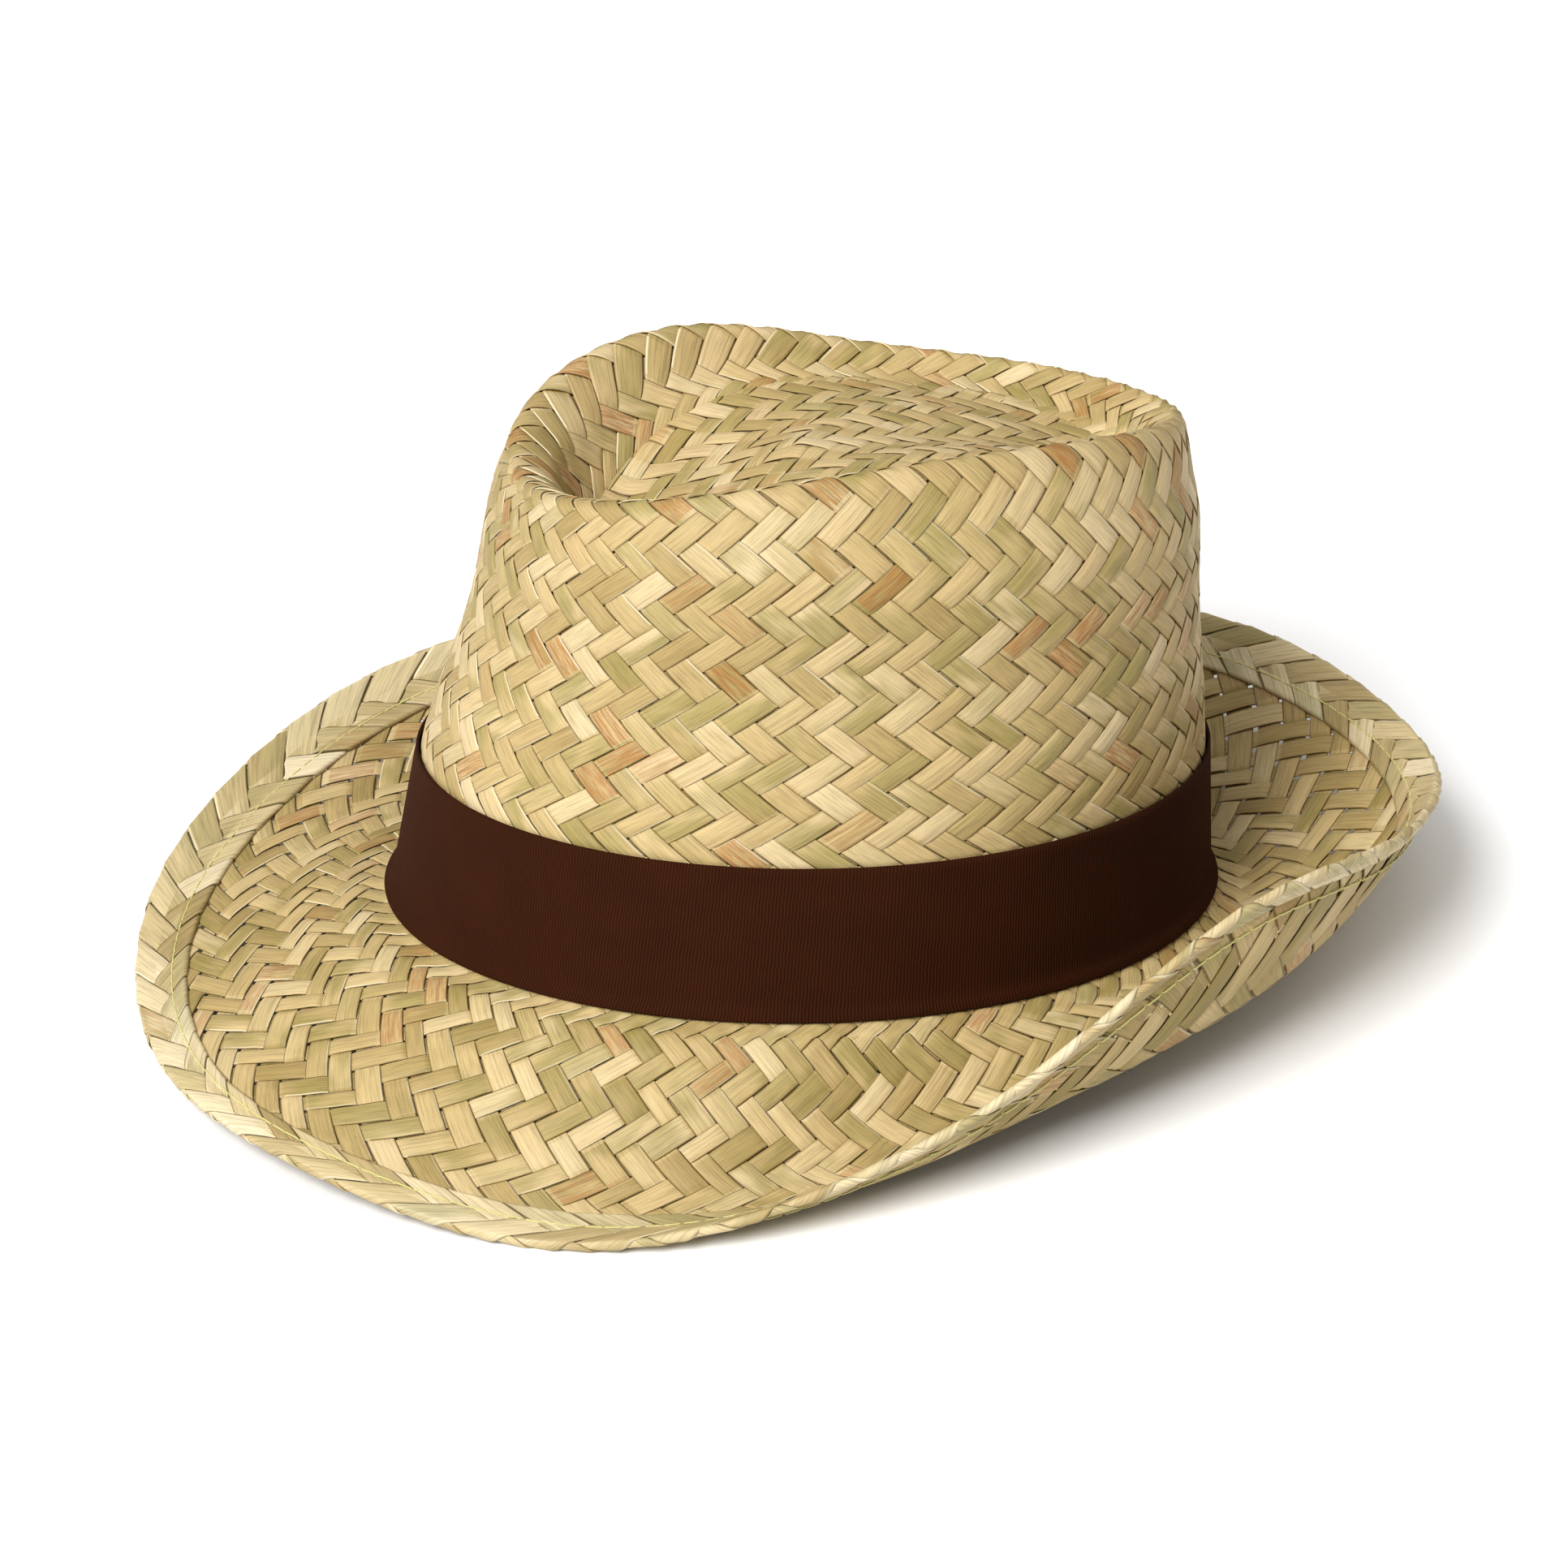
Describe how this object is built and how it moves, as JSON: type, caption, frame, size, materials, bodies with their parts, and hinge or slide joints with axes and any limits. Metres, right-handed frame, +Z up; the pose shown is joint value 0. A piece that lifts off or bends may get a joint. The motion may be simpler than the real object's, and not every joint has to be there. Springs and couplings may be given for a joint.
{
  "type": "fedora-shaped woven straw hat",
  "caption": "Woven straw hat with a teardrop-dented crown, a shaped brim with a folded hem, and a plain fabric band.",
  "frame": {"origin": "middle of the bottom of the bounding box, on the surface the hat rests on", "axes": "+Z up, front of the hat towards -Y, wearer's left towards +X"},
  "size_m": [0.2752, 0.3296, 0.1499],
  "materials": {
    "crown_straw": "matte",
    "brim_straw": "matte",
    "hem_straw": "matte",
    "band_fabric": "matte"
  },
  "bodies": {
    "root": {"crown": "crown_straw", "brim": "brim_straw", "brim_hem": "hem_straw", "hat_band": "band_fabric"}
  },
  "joints": []
}
